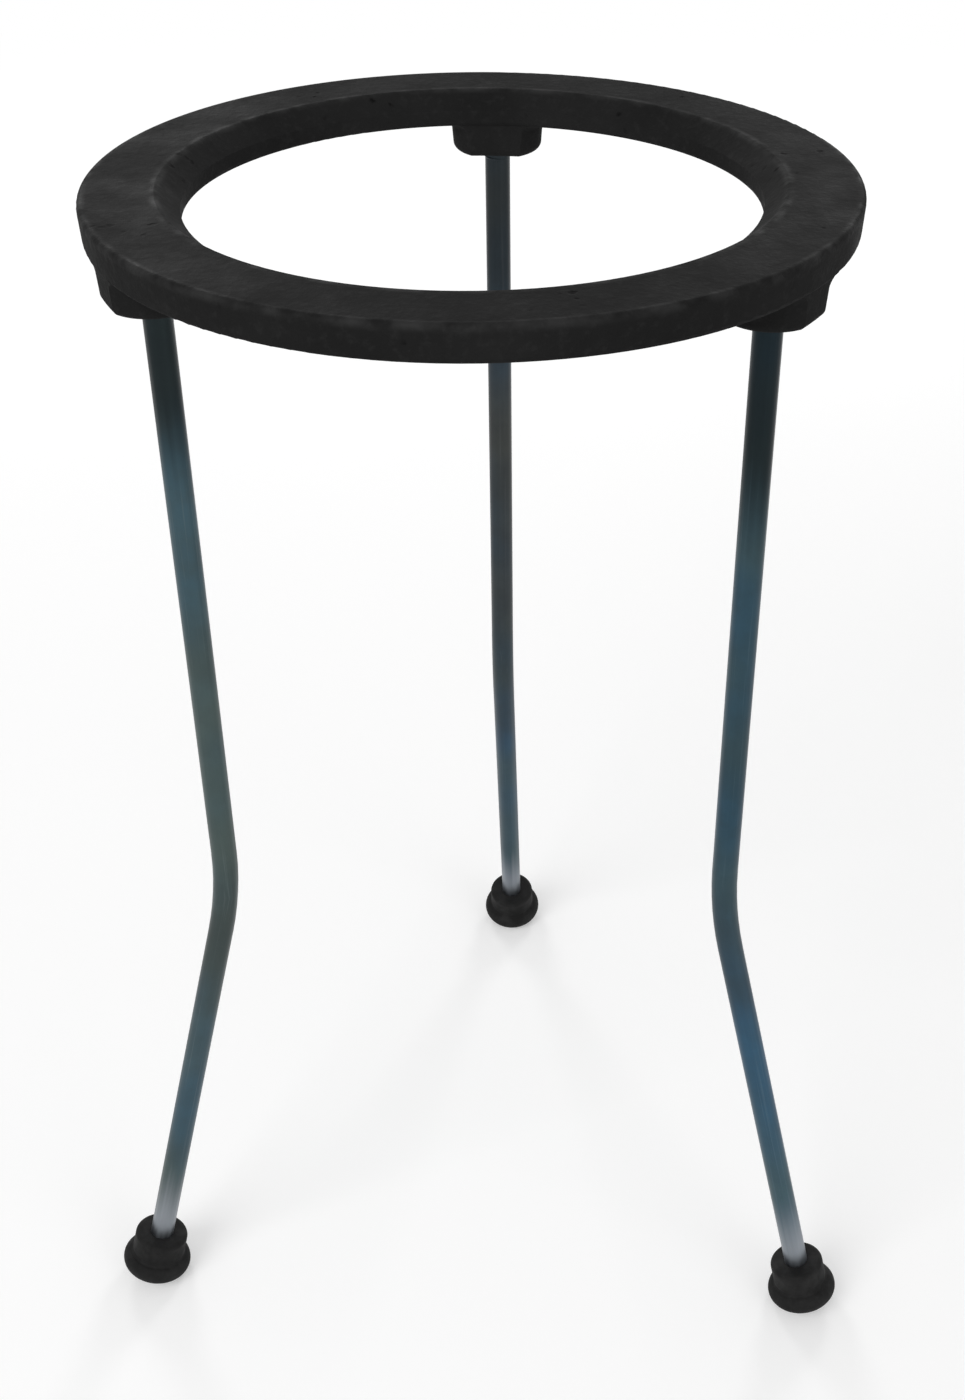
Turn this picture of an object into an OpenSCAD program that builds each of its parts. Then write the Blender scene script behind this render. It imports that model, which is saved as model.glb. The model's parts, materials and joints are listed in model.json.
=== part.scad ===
// Lab tripod stand: a cast-iron ring on three bent steel legs with push-on feet.
// Millimetres, +Z up. The origin lies on the ring's axis, level with the bench.

/* [Stand] */
// Height of the ring's top face above the bench
stand_h = 228; // [185:1:300]
// Diameter of the circle on which the three soles stand
foot_circle_d = 156; // [128:1:220]
// Height of each leg's knee above the bench
knee_h = 97; // [60:1:130]

/* [Ring] */
// Outer diameter of the ring
ring_d = 127; // [122:1:156]
// Diameter of the opening at its narrowest
opening_d = 95; // [80:1:96]
// Thickness of the ring
ring_t = 6; // [5:0.5:10]
// Width of the conical seat that widens the opening towards the ring's top face
seat_w = 3.6; // [1:0.1:4]
// Height of the straight land below the seat
land_h = 3; // [2:0.1:4]
// Radius of the ring's rounded edges
ring_edge_r = 0.9; // [0.4:0.1:1.2]
// Draft of the cast outer walls, in degrees
draft = 3; // [0.5:0.5:5]

/* [Leg bosses] */
// Diameter of each boss where it meets the ring's underside
boss_d = 17.5; // [12:0.5:20]
// Depth of each boss below the ring's underside
boss_drop = 6; // [3:0.1:10]
// Distance from the ring's outer wall in to the axis of each leg
boss_inset = 8.75; // [6:0.25:9.5]
// Step by which a boss stays inside the ring's walls
boss_step = 0.5; // [0.2:0.1:1]
// Radius of the rounded lower edge of a boss
boss_edge_r = 1.5; // [0.4:0.1:2]
// Radius of the cove where a boss grows out of the ring
cove_r = 1.6; // [0.8:0.1:2.5]
// Iron left between the end of a leg's hole and the ring's top face
top_skin = 2.3; // [1.5:0.1:4]

/* [Legs] */
// Diameter of the leg rod
leg_d = 4.8; // [4:0.2:7]
// Radius of the knee, at the rod's centre line
knee_r = 70; // [20:1:110]
// Growth of the rod's diameter round its knee, where bending upsets it
knee_swell = 0.02; // [0.02:0.01:0.1]
// Length of the chamfer on the ends of a leg
leg_chamfer = 0.5; // [0.2:0.1:1]

/* [Feet] */
// Largest diameter of a foot
foot_d = 14.25; // [12:0.25:20]
// Height of a foot along its leg
foot_h = 11; // [9:0.5:18]
// Diameter of the collar that grips the leg
collar_d = 11; // [9:0.2:12]
// Radius of the domed sole
sole_r = 12; // [10:0.5:20]
// Depth to which each sole is flattened by the bench
sole_flat = 0.3; // [0.1:0.05:0.6]
// Radius of the bulge round a foot
bulge_r = 2.25; // [1.5:0.25:3.5]
// Radius of the fillet between the bulge and the collar
collar_fillet_r = 0.8; // [0.4:0.1:1.2]
// Radius of the collar's rounded rim
rim_r = 0.9; // [0.4:0.1:1.5]
// Depth of the socket in a foot
socket_depth = 7; // [4:0.5:8]

/* [Fits] */
// Gap all round between a leg and its hole in the ring
thread_gap = 0.05; // [0.02:0.01:0.2]
// Space left at the end of a leg's hole
end_gap = 0.4; // [0.2:0.1:1]
// Gap all round between a leg and the socket of its foot
socket_gap = 0.05; // [0.02:0.01:0.2]

/* [Hidden] */
$fn = 96;

// Directions of the legs, anticlockwise from +X
REAR = 90;
LEFT = 210;
RIGHT = 330;

// Ring and bosses, as radii from the ring's axis and heights above the bench
ring_r = ring_d / 2;
opening_r = opening_d / 2;
leg_r = ring_r - boss_inset;
under_z = stand_h - ring_t;
boss_z = under_z - boss_drop;
boss_root_z = under_z + ring_t / 3;
seat_tilt = atan2(seat_w, ring_t - land_h);
hole_depth = ring_t + boss_drop - top_skin;
cove_sink = 0.12;
hole_chamfer = 0.7;
overrun = 1;

// A sloping wall lies this little below its round edges' tangent, so that each pair meets in one line
wall_nick = 0.002;

// The lower half of a leg runs from the knee to the centre of its domed sole
foot_r = foot_circle_d / 2;
sole_z = sole_r - sole_flat;
splay = atan2(foot_r - leg_r, knee_h - sole_z);
knee_to_sole = norm([foot_r - leg_r, knee_h - sole_z]);
knee_tangent = knee_r * tan(splay / 2);
knee_lap = 0.5;
leg_top_z = boss_z + hole_depth - end_gap;
leg_end = knee_to_sole + sole_r - (foot_h - socket_depth);

// Feet: the bulge touches the domed sole from inside, and the fillet cuts a little into bulge and
// collar, where it would else only touch them
collar_r = collar_d / 2;
bulge_x = foot_d / 2 - bulge_r;
bulge_z = sole_r - sqrt(pow(sole_r - bulge_r, 2) - pow(bulge_x, 2));
fillet_sink = 0.03;
fillet_x = collar_r + collar_fillet_r - fillet_sink;
fillet_reach = bulge_r + collar_fillet_r - fillet_sink;
fillet_z = bulge_z + sqrt(pow(fillet_reach, 2) - pow(fillet_x - bulge_x, 2));

// Radius of the drafted outer wall's round edge centres at a height, for an edge radius and a step
// inwards
function edge_x(z, edge_r, step) = ring_r - edge_r - step - (stand_h - edge_r - z) * tan(draft);

// Half section of the ring: straight land, conical seat, drafted outer wall and round edges
module ring_section() {
    e = ring_edge_r;
    low_z = under_z + e;
    top_z = stand_h - e;
    low_x = edge_x(low_z, e, 0);
    top_x = edge_x(top_z, e, 0);
    seat_x = opening_r + seat_w + e * tan(45 - seat_tilt / 2);
    wall = (e - wall_nick) * [cos(draft), -sin(draft)];
    seat = (e - wall_nick) * [-cos(seat_tilt), sin(seat_tilt)];
    polygon([
        [opening_r, low_z], [opening_r + e, under_z], [low_x, under_z], [low_x, low_z] + wall,
        [top_x, top_z] + wall, [top_x, stand_h], [seat_x, stand_h], [seat_x, top_z] + seat,
        [opening_r, under_z + land_h]
    ]);
    for (c = [[opening_r + e, low_z], [low_x, low_z], [top_x, top_z], [seat_x, top_z]])
        translate(c) circle(e);
}

// Half section of the band that bosses are cut to, a step inside the ring's walls
module boss_band_section() {
    e = boss_edge_r;
    low_z = boss_z + e;
    in_wall = opening_r + boss_step;
    low_x = edge_x(low_z, e, boss_step);
    root_x = edge_x(boss_root_z, e, boss_step);
    wall = (e - wall_nick) * [cos(draft), -sin(draft)];
    polygon([
        [in_wall, low_z], [in_wall + e, boss_z], [low_x, boss_z], [low_x, low_z] + wall,
        [root_x, boss_root_z] + wall, [in_wall, boss_root_z]
    ]);
    for (x = [in_wall + e, low_x]) translate([x, low_z]) circle(e);
}

// Half section of one boss about its leg's axis: round lower edge, drafted side, cove under the ring
module boss_section() {
    low_r = boss_d / 2 - boss_drop * tan(draft);
    cove_z = under_z - cove_r + cove_sink;
    side_r = boss_d / 2 - cove_r * tan(draft);
    difference() {
        union() {
            polygon([
                [0, boss_z], [low_r - boss_edge_r, boss_z], [low_r, boss_z + boss_edge_r],
                [side_r, cove_z], [side_r + cove_r, cove_z], [side_r + cove_r, boss_root_z],
                [0, boss_root_z]
            ]);
            translate([low_r - boss_edge_r, boss_z + boss_edge_r]) circle(boss_edge_r);
        }
        translate([side_r + cove_r, cove_z]) circle(cove_r);
    }
}

module boss() {
    intersection() {
        rotate_extrude() boss_band_section();
        translate([leg_r, 0, 0]) rotate_extrude() boss_section();
    }
}

// Blind hole for the end of a leg, with a chamfered mouth
module leg_hole() {
    hole_r = leg_d / 2 + thread_gap;
    translate([leg_r, 0, boss_z]) cylinder(h = hole_depth, r = hole_r);
    translate([leg_r, 0, boss_z - overrun])
        cylinder(h = hole_chamfer + overrun, r1 = hole_r + hole_chamfer + overrun, r2 = hole_r);
}

// One casting: a flat ring with three bosses below it
module ring() {
    color("#2b2b2c") difference() {
        union() {
            rotate_extrude() ring_section();
            for (a = [REAR, LEFT, RIGHT]) rotate(a) boss();
        }
        for (a = [REAR, LEFT, RIGHT]) rotate(a) leg_hole();
    }
}

// Round rod from z = 0 up, chamfered at its far end; its near end runs on into the knee
module rod(length) {
    translate([0, 0, -knee_lap]) cylinder(h = length - leg_chamfer + knee_lap, d = leg_d);
    translate([0, 0, length - leg_chamfer])
        cylinder(h = leg_chamfer, d1 = leg_d, d2 = leg_d - 2 * leg_chamfer);
}

// One rod, bent once: upright under its boss, then splayed outwards below the knee
module leg() {
    color("#8e9aa3") translate([leg_r, 0, knee_h]) {
        translate([0, 0, knee_tangent]) rod(leg_top_z - knee_h - knee_tangent);
        translate([knee_r, 0, knee_tangent]) rotate([90, 0, 0])
            rotate_extrude(angle = splay, start = 180)
                translate([knee_r, 0]) circle(d = leg_d + knee_swell);
        rotate([0, 180 - splay, 0]) translate([0, 0, knee_tangent]) rod(leg_end - knee_tangent);
    }
}

// Half section of a foot along its leg: domed sole, bulge, fillet and collar with a round rim
module foot_section() {
    touch_x = bulge_x * sole_r / (sole_r - bulge_r);
    intersection() {
        translate([0, sole_r]) circle(sole_r);
        square([touch_x, bulge_z]);
    }
    difference() {
        union() {
            translate([bulge_x, bulge_z]) circle(bulge_r);
            polygon([
                [0, bulge_z], [bulge_x, bulge_z], [fillet_x, fillet_z], [collar_r, fillet_z],
                [collar_r, foot_h - rim_r], [0, foot_h - rim_r]
            ]);
        }
        translate([fillet_x, fillet_z]) circle(collar_fillet_r);
    }
    translate([0, bulge_z]) square([collar_r - rim_r, foot_h - bulge_z]);
    translate([collar_r - rim_r, foot_h - rim_r]) circle(rim_r);
}

// Push-on foot, its sole pressed flat on the bench
module foot() {
    color("#1b1b1c") difference() {
        translate([foot_r, 0, sole_z]) rotate([0, -splay, 0]) translate([0, 0, -sole_r])
            difference() {
                rotate_extrude() foot_section();
                translate([0, 0, foot_h - socket_depth])
                    cylinder(h = socket_depth + overrun, r = leg_d / 2 + socket_gap);
            }
        translate([foot_r, 0, -foot_h]) cylinder(h = foot_h, r = foot_d);
    }
}

ring();
rotate(REAR) leg();  // leg_rear
rotate(LEFT) leg();  // leg_left
rotate(RIGHT) leg();  // leg_right
rotate(REAR) foot();  // foot_rear
rotate(LEFT) foot();  // foot_left
rotate(RIGHT) foot();  // foot_right
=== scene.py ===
"""Looks of the lab tripod stand: camera, studio, materials and the threads of its legs.

Metres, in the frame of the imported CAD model: +Z up, origin on the ring's axis at the bench. Azimuths,
elevations and the legs' angles are in degrees, and noise and cells have their scale in features per metre.
"""

import json
import math

import bmesh
import bpy
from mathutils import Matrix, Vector


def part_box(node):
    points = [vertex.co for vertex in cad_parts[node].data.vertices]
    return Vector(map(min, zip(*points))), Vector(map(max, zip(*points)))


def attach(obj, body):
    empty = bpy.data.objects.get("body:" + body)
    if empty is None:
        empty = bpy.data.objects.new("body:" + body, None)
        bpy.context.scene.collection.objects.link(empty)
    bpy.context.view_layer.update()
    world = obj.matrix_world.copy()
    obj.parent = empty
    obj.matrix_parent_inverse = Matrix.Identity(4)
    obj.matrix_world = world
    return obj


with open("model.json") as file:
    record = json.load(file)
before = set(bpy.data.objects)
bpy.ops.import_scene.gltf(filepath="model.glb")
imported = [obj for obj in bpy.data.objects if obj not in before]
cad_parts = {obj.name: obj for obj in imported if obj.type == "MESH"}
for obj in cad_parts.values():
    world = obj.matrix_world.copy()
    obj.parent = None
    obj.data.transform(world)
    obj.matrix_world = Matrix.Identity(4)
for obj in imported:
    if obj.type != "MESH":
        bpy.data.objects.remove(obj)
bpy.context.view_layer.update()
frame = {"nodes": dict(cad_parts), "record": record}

# ---- sizes read from the CAD model ----
MM = 0.001
LEG_ANGLES = {"rear": 90.0, "left": 210.0, "right": 330.0}  # anticlockwise from +X
RING_LOW, RING_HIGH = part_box("ring")
RING_R = (RING_HIGH.x - RING_LOW.x) / 2
RING_TOP_Z = RING_HIGH.z
BOSS_Z = RING_LOW.z
LEG_LOW, LEG_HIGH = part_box("leg_rear")
LEG_D = LEG_HIGH.x - LEG_LOW.x
LEG_AXIS_R = LEG_LOW.y + LEG_D / 2
FOOT_TOP_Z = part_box("foot_rear")[1].z
MOUNTS = {mount["name"]: mount for mount in frame["record"]["mounts"]}
OPENING_R = MOUNTS["ring_opening"]["dims"]["r_mm"] * MM
SOLE_R = Vector(MOUNTS["sole_rear"]["pos_m"]).y  # from the ring's axis to the middle of a sole

# ---- sizes of the CAD model that its frame doesn't give ----
KNEE_Z = 97 * MM
SOLE_DOME_Z = 11.7 * MM  # middle of each foot's domed sole, which the leg points at
SEAT_W = 3.6 * MM
LEAN = (SOLE_R - LEG_AXIS_R) / (KNEE_Z - SOLE_DOME_Z)  # outwards for each length down from the knee


# ---- placing things ----
def direction(azimuth, elevation):
    """Unit vector from the stand towards a camera or lamp; azimuth 0 is straight in front of it."""
    a, e = math.radians(azimuth), math.radians(elevation)
    return Vector((math.sin(a) * math.cos(e), -math.cos(a) * math.cos(e), math.sin(e)))


def look_along(obj, towards):
    obj.rotation_mode = "QUATERNION"
    obj.rotation_quaternion = towards.to_track_quat("-Z", "Y")


def link(obj):
    bpy.context.scene.collection.objects.link(obj)


def mesh_object(name, mesh):
    """Turns a bmesh into a linked object and frees it."""
    data = bpy.data.meshes.new(name)
    mesh.to_mesh(data)
    mesh.free()
    obj = bpy.data.objects.new(name, data)
    link(obj)
    return obj


def assign(obj, material):
    obj.data.materials.clear()
    obj.data.materials.append(material)


# ---- camera: the photograph's viewing angle ----
CAMERA_DISTANCE = 0.3019  # from the middle of the ring's top face
CAMERA_AZIMUTH = 5.0
CAMERA_ELEVATION = 17.57
CAMERA_AIM = Vector((0.0089, 0.0073, 0.12))
CAMERA_LENS = 45.63
CAMERA_SHIFT_X = -0.034  # the photograph is cropped a little off its centre
CAMERA_CLIP_START = 0.01


def make_camera():
    data = bpy.data.cameras.new("camera")
    data.lens = CAMERA_LENS
    data.shift_x = CAMERA_SHIFT_X
    data.clip_start = CAMERA_CLIP_START
    camera = bpy.data.objects.new("camera", data)
    ring_top = Vector((0, 0, RING_TOP_Z))
    camera.location = ring_top + CAMERA_DISTANCE * direction(CAMERA_AZIMUTH, CAMERA_ELEVATION)
    look_along(camera, CAMERA_AIM - camera.location)
    link(camera)
    bpy.context.scene.camera = camera


# ---- node helpers ----
NOISE_SPAN = (0.3, 0.7)  # the values that most of a noise lies between


def new_material(name):
    """A material with an empty node tree, and that tree."""
    material = bpy.data.materials.new(name)
    material.use_nodes = True
    material.node_tree.nodes.clear()
    return material, material.node_tree


def put(tree, kind, inputs, output=0, **settings):
    """Adds a node, fills its inputs from numbers or other nodes' outputs, and returns an output."""
    node = tree.nodes.new("ShaderNode" + kind)
    for name, value in settings.items():
        setattr(node, name, value)
    for key, value in inputs.items():
        if isinstance(value, bpy.types.NodeSocket):
            tree.links.new(value, node.inputs[key])
        else:
            node.inputs[key].default_value = value
    return node.outputs[output] if node.outputs else None


def object_coords(tree):
    return put(tree, "TexCoord", {}, output="Object")


def split(tree, vector):
    """The vector's X, Y and Z."""
    node = tree.nodes.new("ShaderNodeSeparateXYZ")
    tree.links.new(vector, node.inputs[0])
    return node.outputs[:]


def calc(tree, operation, a, b=0.0):
    return put(tree, "Math", {0: a, 1: b}, operation=operation)


def times(tree, a, b):
    return calc(tree, "MULTIPLY", a, b)


def weighted_sum(tree, *terms):
    """Sum of the terms, each an output and its weight."""
    total = times(tree, *terms[0])
    for term in terms[1:]:
        total = calc(tree, "ADD", total, times(tree, *term))
    return total


def smooth(tree, value, low, high, to_low=0.0, to_high=1.0):
    """Smooth step from to_low at low to to_high at high."""
    inputs = {"Value": value, "From Min": low, "From Max": high, "To Min": to_low, "To Max": to_high}
    return put(tree, "MapRange", inputs, interpolation_type="SMOOTHSTEP")


def noise(tree, coords, scale, detail=3.0, roughness=0.5, output=0):
    inputs = {"Vector": coords, "Scale": scale, "Detail": detail, "Roughness": roughness}
    return put(tree, "TexNoise", inputs, output=output, noise_dimensions="3D")


def cells(tree, coords, scale):
    """Distance from the middle of the nearest cell, in cells."""
    return put(tree, "TexVoronoi", {"Vector": coords, "Scale": scale}, feature="F1")


def blend_colours(tree, factor, a, b, blend_type="MIX"):
    """Colour a where factor is 0 and its blend with b where it is 1; each is a colour or an output."""
    inputs = {0: factor, 6: a, 7: b}
    return put(tree, "Mix", inputs, output=2, data_type="RGBA", blend_type=blend_type)


def grey(level):
    return (level, level, level, 1.0)


def finish_material(material, colour, roughness, height, relief, metallic, specular):
    """Principled surface with its bump; the constants sit on the shader's own sockets."""
    tree = material.node_tree
    normal = put(tree, "Bump", {"Height": height, "Strength": 1.0, "Distance": relief})
    shader = put(tree, "BsdfPrincipled", {
        "Base Color": colour, "Roughness": roughness, "Normal": normal,
        "Metallic": metallic, "Specular IOR Level": specular,
    })
    put(tree, "OutputMaterial", {"Surface": shader})
    return material


# ---- the ring's black iron ----
IRON_DARK = grey(0.0140)
IRON_PALE = grey(0.0190)
IRON_GRAIN = grey(0.027)  # on the highest grains of the sand-cast skin
IRON_PIT = grey(0.005)
IRON_RUBBED = grey(0.050)
IRON_GRAIN_SHARE = 0.45
IRON_RUBBED_SHARE = 0.6
IRON_ROUGHNESS = (0.54, 0.70)
IRON_RUBBED_SMOOTHER = 0.12  # taken off the roughness
IRON_RELIEF = 0.35 * MM
IRON_SPECULAR = 0.012
PIT_WANDER = 1.6 * MM
RIM_RADII = (RING_R - 0.4 * MM, OPENING_R + SEAT_W + 0.3 * MM)
RIM_WEAR_FULL = 0.2 * MM  # to each side of a rim
RIM_WEAR_END = 1.3 * MM
TOP_WEAR_FULL = 0.1 * MM  # below the top face
TOP_WEAR_END = 1.6 * MM


def cast_pits(tree, coords):
    """Up to 1 in ragged pits, which lie in loose patches."""
    warp = noise(tree, coords, scale=700.0, output="Color")
    shift = put(tree, "VectorMath", {0: warp, "Scale": PIT_WANDER}, operation="SCALE")
    warped = put(tree, "VectorMath", {0: coords, 1: shift}, operation="ADD")
    pits = smooth(tree, cells(tree, warped, scale=330.0), 0.08, 0.26, 1.0, 0.0)
    return times(tree, pits, smooth(tree, noise(tree, coords, scale=85.0), 0.54, 0.66))


def rubbed_rims(tree, coords):
    """Up to 1 along the top face's outer and inner rims, where glassware and gauzes slide."""
    x, y, z = split(tree, coords)
    radius = calc(tree, "SQRT", calc(tree, "ADD", times(tree, x, x), times(tree, y, y)))
    top = smooth(tree, z, RING_TOP_Z - TOP_WEAR_END, RING_TOP_Z - TOP_WEAR_FULL)
    bands = []
    for rim_r in RIM_RADII:
        off = calc(tree, "ABSOLUTE", calc(tree, "SUBTRACT", radius, rim_r))
        bands.append(smooth(tree, off, RIM_WEAR_FULL, RIM_WEAR_END, 1.0, 0.0))
    rims = times(tree, calc(tree, "MAXIMUM", *bands), top)
    return times(tree, rims, smooth(tree, noise(tree, coords, scale=210.0, detail=4.0), 0.35, 0.7))


def black_iron():
    """Satin black stove-baked paint over a sand-cast skin, rubbed thinner along the ring's edges."""
    material, tree = new_material("black_iron")
    coords = object_coords(tree)
    swell = noise(tree, coords, scale=90.0, detail=2.0)
    sand = noise(tree, coords, scale=620.0, detail=5.0, roughness=0.6)
    fine = noise(tree, coords, scale=2300.0, detail=2.0)
    pits = cast_pits(tree, coords)
    rubbed = rubbed_rims(tree, coords)
    height = weighted_sum(tree, (swell, 0.45), (sand, 0.42), (fine, 0.10), (pits, -0.35))

    cloud = smooth(tree, noise(tree, coords, scale=38.0, detail=4.0, roughness=0.6), 0.3, 0.75)
    grains = times(tree, smooth(tree, sand, 0.5, 0.72), IRON_GRAIN_SHARE)
    colour = blend_colours(tree, cloud, IRON_DARK, IRON_PALE)
    colour = blend_colours(tree, grains, colour, IRON_GRAIN)
    colour = blend_colours(tree, pits, colour, IRON_PIT)
    colour = blend_colours(tree, times(tree, rubbed, IRON_RUBBED_SHARE), colour, IRON_RUBBED)

    gloss = noise(tree, coords, scale=75.0, detail=5.0, roughness=0.65)
    roughness = smooth(tree, gloss, *NOISE_SPAN, *IRON_ROUGHNESS)
    roughness = calc(tree, "SUBTRACT", roughness, times(tree, rubbed, IRON_RUBBED_SMOOTHER))
    return finish_material(material, colour, roughness, height, relief=IRON_RELIEF, metallic=0.0,
                           specular=IRON_SPECULAR)


# ---- the legs' plated steel ----
PLATE_GREEN = (0.066, 0.090, 0.090, 1.0)
PLATE_BLUE = (0.045, 0.086, 0.120, 1.0)
PLATE_DULL = (0.044, 0.062, 0.070, 1.0)
PLATE_LINE = (0.12, 0.155, 0.175, 1.0)
TARNISH = (0.038, 0.038, 0.033, 1.0)  # left by the bending
WORN_METAL = (0.30, 0.32, 0.35, 1.0)
# near-black colour for the painted shade under the ring, on each rod's upper end
PAINTED_RING_SHADE = (0.010, 0.013, 0.015, 1.0)
PLATE_DULL_SHARE = 0.5
PLATE_LINE_SHARE = 0.35
TARNISH_SHARE = 0.4
WORN_SHARE = 0.9
PLATE_ROUGHNESS = (0.32, 0.46)
PLATE_SPECULAR = 0.5
PLATE_RELIEF = 0.03 * MM
DRAW_STRETCH = 0.012  # scale of the draw lines' pattern along the rod, beside 1 across it
SHADING_AND_HUE_HALF = 25 * MM  # above and below the knee, where the upper painted shading and hue turn into the lower
RAGGED = 12 * MM  # how far the ends of the marks wander along the rod
TARNISH_Z = KNEE_Z - 12 * MM
TARNISH_FULL = 4 * MM  # above and below that height
TARNISH_REACH = 22 * MM
WORN_REACH = 18 * MM

# Each leg's own look: where its pattern starts, its painted light and shade and its hue above and below
# the knee, and the painted shade under the ring on its upper end: how strong it is, how far down it is
# full, and how far it reaches
ROD_LOOKS = {
    "rear": {
        "pattern_start": 2.65,
        "upper_shading_and_hue": (0.80, 0.63, 0.60, 1.0),
        "lower_shading_and_hue": (0.78, 0.92, 1.06, 1.0),
        "ring_shade": 0.55,
        "ring_shade_full": 20 * MM,
        "ring_shade_reach": 48 * MM,
    },
    "left": {
        "pattern_start": 3.54,
        "upper_shading_and_hue": (1.18, 1.12, 1.00, 1.0),
        "lower_shading_and_hue": (1.18, 1.15, 1.10, 1.0),
        "ring_shade": 0.85,
        "ring_shade_full": 14 * MM,
        "ring_shade_reach": 36 * MM,
    },
    "right": {
        "pattern_start": 5.37,
        "upper_shading_and_hue": (0.76, 0.88, 0.92, 1.0),
        "lower_shading_and_hue": (0.96, 1.18, 1.36, 1.0),
        "ring_shade": 0.85,
        "ring_shade_full": 22 * MM,
        "ring_shade_reach": 44 * MM,
    },
}


def unbent_coords(tree, leg_angle, pattern_start):
    """Height, and coordinates in which the leg is straight: its lean below the knee is taken off."""
    inputs = {"Vector": object_coords(tree), "Angle": -math.radians(leg_angle)}
    turned = put(tree, "VectorRotate", inputs, rotation_type="Z_AXIS")
    x, y, z = split(tree, turned)
    below = calc(tree, "MAXIMUM", calc(tree, "SUBTRACT", KNEE_Z, z), 0.0)
    axis_x = calc(tree, "SUBTRACT", x, times(tree, below, LEAN))
    start_z = calc(tree, "ADD", z, pattern_start)
    return z, put(tree, "CombineXYZ", {0: axis_x, 1: y, 2: start_z})


def plate_colour(tree, straight, lines):
    """Green-grey to blue plate, mottled, with paler draw lines."""
    drift = smooth(tree, noise(tree, straight, scale=24.0, detail=2.0), 0.36, 0.64)
    mottle = smooth(tree, noise(tree, straight, scale=95.0, detail=4.0, roughness=0.6), *NOISE_SPAN)
    bright = smooth(tree, lines, 0.55, 0.8)
    colour = blend_colours(tree, drift, PLATE_GREEN, PLATE_BLUE)
    colour = blend_colours(tree, times(tree, mottle, PLATE_DULL_SHARE), colour, PLATE_DULL)
    return blend_colours(tree, times(tree, bright, PLATE_LINE_SHARE), colour, PLATE_LINE)


def mark_rod(tree, colour, z, ragged_z, look):
    """Adds the leg's painted shading and hue, its bending and foot marks, and the painted shade under the
    ring.
    """
    # painted light and shade: each leg gets its own brightness and hue above and below the knee
    upper = smooth(tree, z, KNEE_Z - SHADING_AND_HUE_HALF, KNEE_Z + SHADING_AND_HUE_HALF)
    shading_and_hue = blend_colours(tree, upper, look["lower_shading_and_hue"], look["upper_shading_and_hue"])
    colour = blend_colours(tree, 1.0, colour, shading_and_hue, blend_type="MULTIPLY")
    from_bend = calc(tree, "ABSOLUTE", calc(tree, "SUBTRACT", ragged_z, TARNISH_Z))
    tarnished = smooth(tree, from_bend, TARNISH_FULL, TARNISH_REACH, TARNISH_SHARE, 0.0)
    colour = blend_colours(tree, tarnished, colour, TARNISH)
    worn = smooth(tree, ragged_z, FOOT_TOP_Z, FOOT_TOP_Z + WORN_REACH, WORN_SHARE, 0.0)
    colour = blend_colours(tree, worn, colour, WORN_METAL)
    # painted shade: near-black below the ring's boss, fading out down the rod
    ring_shaded = smooth(tree, ragged_z, BOSS_Z - look["ring_shade_reach"], BOSS_Z - look["ring_shade_full"],
                       0.0, look["ring_shade"])
    return blend_colours(tree, ring_shaded, colour, PAINTED_RING_SHADE)


def plated_rod(name, leg_angle, look):
    """Dull blue-grey plate over a drawn rod, with its draw lines along the rod's own axis."""
    material, tree = new_material(name)
    z, straight = unbent_coords(tree, leg_angle, look["pattern_start"])
    along = put(tree, "Mapping", {"Vector": straight, "Scale": (1.0, 1.0, DRAW_STRETCH)})
    lines = noise(tree, along, scale=2600.0, roughness=0.6)
    broad = noise(tree, along, scale=700.0, detail=2.0)
    crystals = cells(tree, straight, scale=900.0)
    height = weighted_sum(tree, (lines, 0.6), (broad, 0.5), (crystals, 0.15))

    ragged_z = calc(tree, "ADD", z, times(tree, calc(tree, "SUBTRACT", broad, 0.5), RAGGED))
    colour = mark_rod(tree, plate_colour(tree, straight, lines), z, ragged_z, look)
    gloss = noise(tree, along, scale=900.0, detail=4.0, roughness=0.6)
    roughness = smooth(tree, gloss, *NOISE_SPAN, *PLATE_ROUGHNESS)
    return finish_material(material, colour, roughness, height, relief=PLATE_RELIEF, metallic=1.0,
                           specular=PLATE_SPECULAR)


# ---- the feet's black rubber ----
RUBBER_DARK = grey(0.0080)
RUBBER_BLOOM = grey(0.0180)
RUBBER_SCUFF = grey(0.045)
RUBBER_SCUFF_SHARE = 0.6
RUBBER_ROUGHNESS = (0.66, 0.82)
RUBBER_RELIEF = 0.06 * MM
RUBBER_SPECULAR = 0.18
SCUFF_FULL_Z = 0.3 * MM
SCUFF_TOP_Z = 2.2 * MM


def black_rubber():
    """Matt moulded rubber with a fine skin, a little bloom, and grey scuffs on the sole."""
    material, tree = new_material("black_rubber")
    coords = object_coords(tree)
    z = split(tree, coords)[2]
    skin = noise(tree, coords, scale=2600.0, detail=4.0, roughness=0.6)
    waves = noise(tree, coords, scale=330.0, detail=2.0)
    height = weighted_sum(tree, (skin, 0.35), (waves, 0.9))

    bloom = smooth(tree, noise(tree, coords, scale=240.0, detail=4.0, roughness=0.6), 0.35, 0.75)
    low = smooth(tree, z, SCUFF_FULL_Z, SCUFF_TOP_Z, 1.0, 0.0)
    scuffs = times(tree, low, smooth(tree, noise(tree, coords, scale=900.0), 0.4, 0.65))
    colour = blend_colours(tree, bloom, RUBBER_DARK, RUBBER_BLOOM)
    colour = blend_colours(tree, times(tree, scuffs, RUBBER_SCUFF_SHARE), colour, RUBBER_SCUFF)
    gloss = noise(tree, coords, scale=420.0, detail=4.0)
    roughness = smooth(tree, gloss, *NOISE_SPAN, *RUBBER_ROUGHNESS)
    return finish_material(material, colour, roughness, height, relief=RUBBER_RELIEF, metallic=0.0,
                           specular=RUBBER_SPECULAR)


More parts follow.
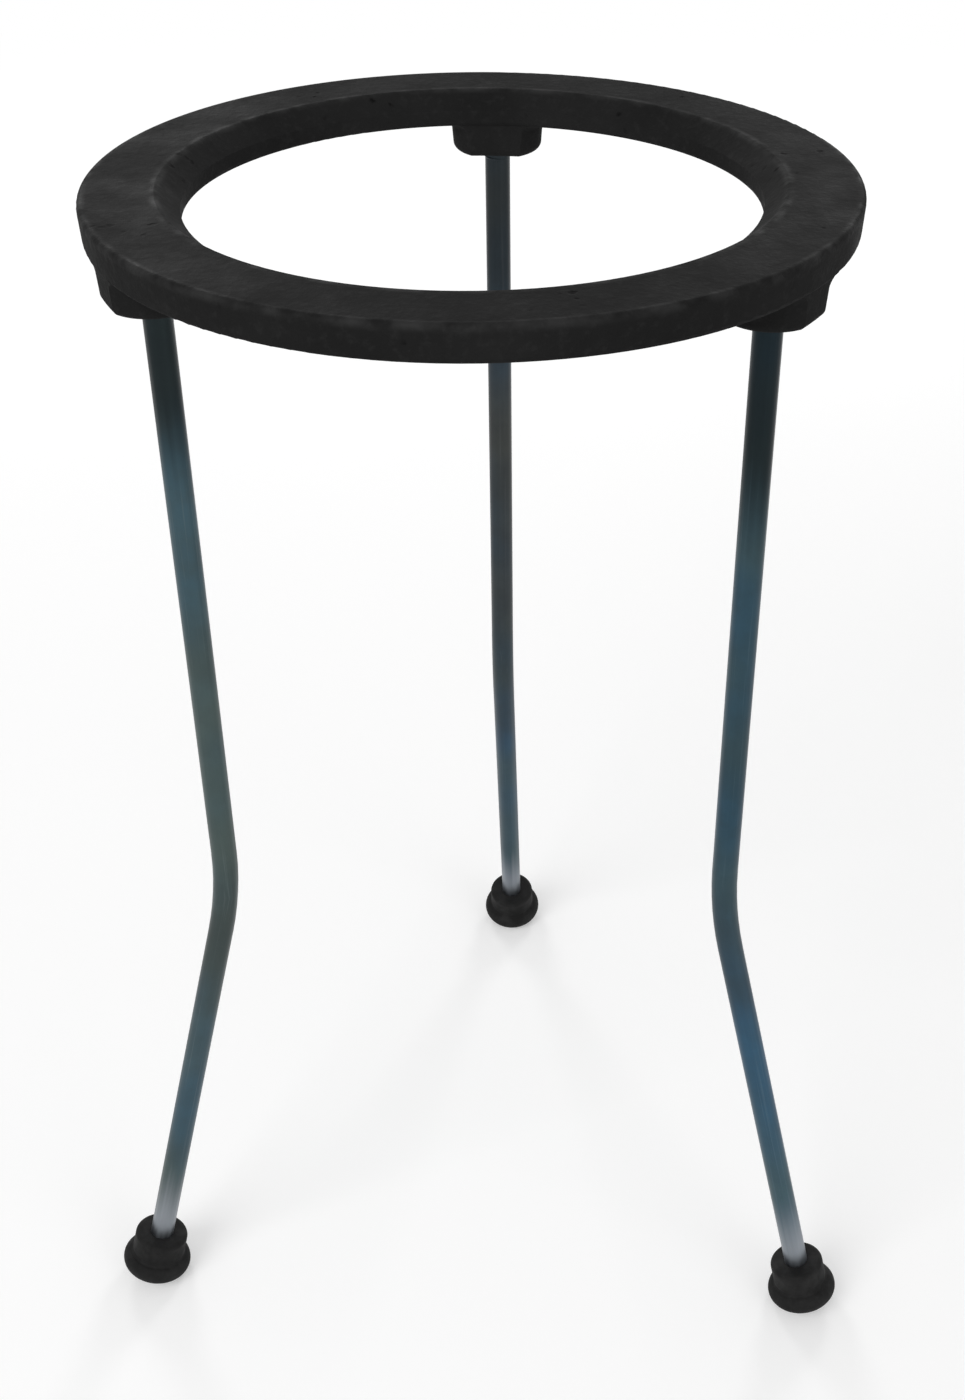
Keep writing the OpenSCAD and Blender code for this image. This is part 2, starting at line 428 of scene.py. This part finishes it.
# ---- thread run-outs ----
THREAD_PITCH = 1.06 * MM
THREAD_SUNK = 0.12 * MM  # how far its root lies inside the rod
THREAD_PROUD = 0.16 * MM
THREAD_ROOT_HALF = 0.44 * THREAD_PITCH
THREAD_CREST_HALF = 0.06 * THREAD_PITCH
THREAD_IN = 0.45 * MM  # how far the turns go on into the boss's chamfer
THREAD_OUT = 2.3 * MM  # how far they show below it
THREAD_STEPS = 48  # per turn
THREAD_START_STEPS = 8  # over which it rises inside the boss; below, it fades over one turn
THREAD_LEAST = 0.02  # share of its height that its ends keep


def thread_section(mesh, i, last, axis, start):
    """Four corners of the thread's profile at one step of its helix, whose start is in radians."""
    root_r = LEG_D / 2 - THREAD_SUNK
    crest_r = LEG_D / 2 + THREAD_PROUD
    rise = min(1.0, (last - i) / THREAD_STEPS, (i + 1) / THREAD_START_STEPS)
    top_r = root_r + (crest_r - root_r) * max(rise, THREAD_LEAST)
    profile = (
        (root_r, -THREAD_ROOT_HALF), (top_r, -THREAD_CREST_HALF),
        (top_r, THREAD_CREST_HALF), (root_r, THREAD_ROOT_HALF),
    )
    angle = start + 2 * math.pi * i / THREAD_STEPS
    out = Vector((math.cos(angle), math.sin(angle), 0))
    z = BOSS_Z + THREAD_IN - THREAD_PITCH * i / THREAD_STEPS
    return [mesh.verts.new(axis + out * r + Vector((0, 0, z + dz))) for r, dz in profile]


def make_thread(side, leg_angle, material):
    """The last rolled turns of a leg's thread, fading out under its boss: one closed solid."""
    around = math.radians(leg_angle)
    axis = Vector((math.cos(around), math.sin(around), 0)) * LEG_AXIS_R
    last = round((THREAD_IN + THREAD_OUT) / THREAD_PITCH * THREAD_STEPS)
    mesh = bmesh.new()
    sections = [thread_section(mesh, i, last, axis, around + math.pi) for i in range(last + 1)]
    for a, b in zip(sections, sections[1:]):
        for k in range(4):
            following = (k + 1) % 4
            mesh.faces.new((a[k], b[k], b[following], a[following]))
    mesh.faces.new(sections[0])
    mesh.faces.new(sections[-1][::-1])
    bmesh.ops.recalc_face_normals(mesh, faces=mesh.faces[:])
    thread = mesh_object("thread_" + side, mesh)
    assign(thread, material)
    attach(thread, "root")


# ---- studio ----
WHITE = grey(1.0)
FLOOR_R = 12.0
FLOOR_SINK = 0.05 * MM  # below the soles
FLOOR_COLOUR = grey(0.80)
FLOOR_GLOW = 0.305
FLOOR_NEAR = 0.35  # from here outwards, the floor fades to plain white
FLOOR_FAR = 1.1
WORLD_LIGHT = 0.40
SKY_WHITE_TO = 0.17  # sine of the elevation up to which the surroundings show white
SKY_GREY_FROM = 0.6
SKY_GREY = 0.6

# Soft boxes: name, azimuth, elevation, distance, diameter and power
LAMPS = (
    ("key", -38.0, 36.0, 1.3, 0.9, 7.0),
    ("fill", 44.0, 14.0, 1.5, 1.1, 4.6),
    ("rim_left", -156.0, 24.0, 1.3, 0.36, 3.0),
    ("rim_right", 162.0, 24.0, 1.3, 0.36, 3.0),
)


def seen_directly(tree):
    """1 for camera, glossy and transmission rays, 0 for the rays that light the object."""
    path = tree.nodes.new("ShaderNodeLightPath").outputs
    seen = calc(tree, "MAXIMUM", path["Is Camera Ray"], path["Is Glossy Ray"])
    return calc(tree, "MAXIMUM", seen, path["Is Transmission Ray"])


def floor_material():
    """Pale near the stand, where it keeps the shadow, plain white far off, and clear from below."""
    material, tree = new_material("floor")
    away = put(tree, "VectorMath", {0: object_coords(tree)}, output="Value", operation="LENGTH")
    far = smooth(tree, away, FLOOR_NEAR, FLOOR_FAR)
    seen = seen_directly(tree)
    lit = put(tree, "BsdfDiffuse", {"Color": FLOOR_COLOUR})
    glow = put(tree, "Emission", {"Color": WHITE, "Strength": times(tree, seen, FLOOR_GLOW)})
    near = put(tree, "AddShader", {0: lit, 1: glow})
    white = put(tree, "Emission", {"Color": WHITE, "Strength": 1.0})
    above = put(tree, "MixShader", {0: times(tree, far, seen), 1: near, 2: white})
    backfacing = put(tree, "NewGeometry", {}, output="Backfacing")
    clear = put(tree, "BsdfTransparent", {})
    surface = put(tree, "MixShader", {0: backfacing, 1: above, 2: clear})
    put(tree, "OutputMaterial", {"Surface": surface})
    return material


def make_floor():
    mesh = bmesh.new()
    bmesh.ops.create_circle(mesh, cap_ends=True, segments=96, radius=FLOOR_R)
    floor = mesh_object("floor", mesh)
    floor.location.z = -FLOOR_SINK
    assign(floor, floor_material())


def make_world():
    """Pale surroundings: white low down and greyer high up where seen, dimmer where they give light."""
    world = bpy.data.worlds.new("studio")
    world.use_nodes = True
    tree = world.node_tree
    tree.nodes.clear()
    up = split(tree, put(tree, "TexCoord", {}, output="Generated"))[2]
    shown = smooth(tree, up, SKY_WHITE_TO, SKY_GREY_FROM, 1.0, SKY_GREY)
    seen = seen_directly(tree)
    hidden = times(tree, calc(tree, "SUBTRACT", 1.0, seen), WORLD_LIGHT)
    strength = calc(tree, "ADD", times(tree, seen, shown), hidden)
    background = put(tree, "Background", {"Color": WHITE, "Strength": strength})
    put(tree, "OutputWorld", {"Surface": background})
    bpy.context.scene.world = world


def make_lamp(name, azimuth, elevation, distance, diameter, power):
    """Soft box that faces the middle of the stand."""
    data = bpy.data.lights.new(name, "AREA")
    data.shape = "DISK"
    data.size = diameter
    data.energy = power
    lamp = bpy.data.objects.new(name, data)
    outwards = direction(azimuth, elevation)
    lamp.location = Vector((0, 0, RING_TOP_Z / 2)) + distance * outwards
    look_along(lamp, -outwards)
    link(lamp)


# ---- the scene ----
make_camera()
bpy.context.scene.view_settings.view_transform = "Standard"
make_world()
make_floor()
for lamp in LAMPS:
    make_lamp(*lamp)

assign(frame["nodes"]["ring"], black_iron())
rubber = black_rubber()
for side, leg_angle in LEG_ANGLES.items():
    rod = plated_rod("plated_rod_" + side, leg_angle, ROD_LOOKS[side])
    assign(frame["nodes"]["leg_" + side], rod)
    assign(frame["nodes"]["foot_" + side], rubber)
    make_thread(side, leg_angle, rod)

bpy.context.view_layer.update()
